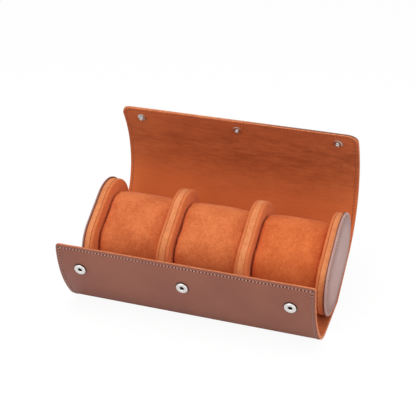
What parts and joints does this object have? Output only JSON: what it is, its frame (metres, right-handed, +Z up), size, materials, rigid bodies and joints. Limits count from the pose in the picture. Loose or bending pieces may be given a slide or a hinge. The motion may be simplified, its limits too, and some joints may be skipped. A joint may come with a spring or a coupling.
{
  "type": "watch travel case",
  "caption": "Leather travel roll for watches, standing open on its base, with padded suede pillows in slots between oblong walls and a curled lid with snap fasteners.",
  "frame": {"origin": "on the floor, at the middle of the flat that the base rests on", "axes": "+X along the roll to the right, +Y to the lid's side, +Z up"},
  "size_m": [0.2008, 0.1433, 0.1269],
  "materials": {
    "wrap_leather": "smooth grain, satin",
    "disc_leather": "smooth grain, satin",
    "suede": "napped suede",
    "lining_suede": "short-napped lining",
    "pillow_suede": "napped suede over padding",
    "board": "raw fibreboard",
    "light_board": "raw card",
    "foam": "open-cell foam",
    "snap_metal": "polished nickel"
  },
  "bodies": {
    "roll": {"base_leather": "wrap_leather", "base_stiffener": "board", "base_lining": "lining_suede", "cradle": "suede", "left_end_board": "board", "left_end_facing": "suede", "left_end_rim": "suede", "left_end_disc": "disc_leather", "right_end_board": "board", "right_end_facing": "suede", "right_end_rim": "suede", "right_end_disc": "disc_leather", "left_divider_board": "board", "left_divider_facings": "suede", "left_divider_rim": "suede", "right_divider_board": "board", "right_divider_facings": "suede", "right_divider_rim": "suede"},
    "front_flap": {"flap_leather": "wrap_leather", "flap_stiffener": "board", "flap_lining": "lining_suede", "snap_sockets": "snap_metal", "socket_washers": "snap_metal"},
    "lid_back": {"lid_back_leather": "wrap_leather", "lid_back_stiffener": "light_board", "lid_back_lining": "lining_suede"},
    "lid_top": {"lid_top_leather": "wrap_leather", "lid_top_stiffener": "light_board", "lid_top_lining": "lining_suede", "snap_studs": "snap_metal", "stud_caps": "snap_metal"},
    "left_pillow": {"left_pillow_core": "foam", "left_pillow_band": "pillow_suede", "left_pillow_sides": "pillow_suede"},
    "middle_pillow": {"middle_pillow_core": "foam", "middle_pillow_band": "pillow_suede", "middle_pillow_sides": "pillow_suede"},
    "right_pillow": {"right_pillow_core": "foam", "right_pillow_band": "pillow_suede", "right_pillow_sides": "pillow_suede"}
  },
  "joints": [
    {"name": "front_flap_fold", "type": "hinge", "parent": "roll", "child": "front_flap", "pos_m": [0, -0.03229, 0.00495], "axis": [1, 0, 0], "range_deg": [-45, 38]},
    {"name": "lid_fold", "type": "hinge", "parent": "roll", "child": "lid_back", "pos_m": [0, 0.05688, 0.02841], "axis": [1, 0, 0], "range_deg": [-38, 32]},
    {"name": "lid_top_fold", "type": "hinge", "parent": "lid_back", "child": "lid_top", "pos_m": [0, 0.0791, 0.07396], "axis": [1, 0, 0], "range_deg": [-38, 48]},
    {"name": "left_pillow_lift", "type": "slide", "parent": "roll", "child": "left_pillow", "axis": [0, -0.5664, 0.8241], "range_m": [0, 0.07]},
    {"name": "middle_pillow_lift", "type": "slide", "parent": "roll", "child": "middle_pillow", "axis": [0, -0.5664, 0.8241], "range_m": [0, 0.07]},
    {"name": "right_pillow_lift", "type": "slide", "parent": "roll", "child": "right_pillow", "axis": [0, -0.5664, 0.8241], "range_m": [0, 0.07]}
  ]
}
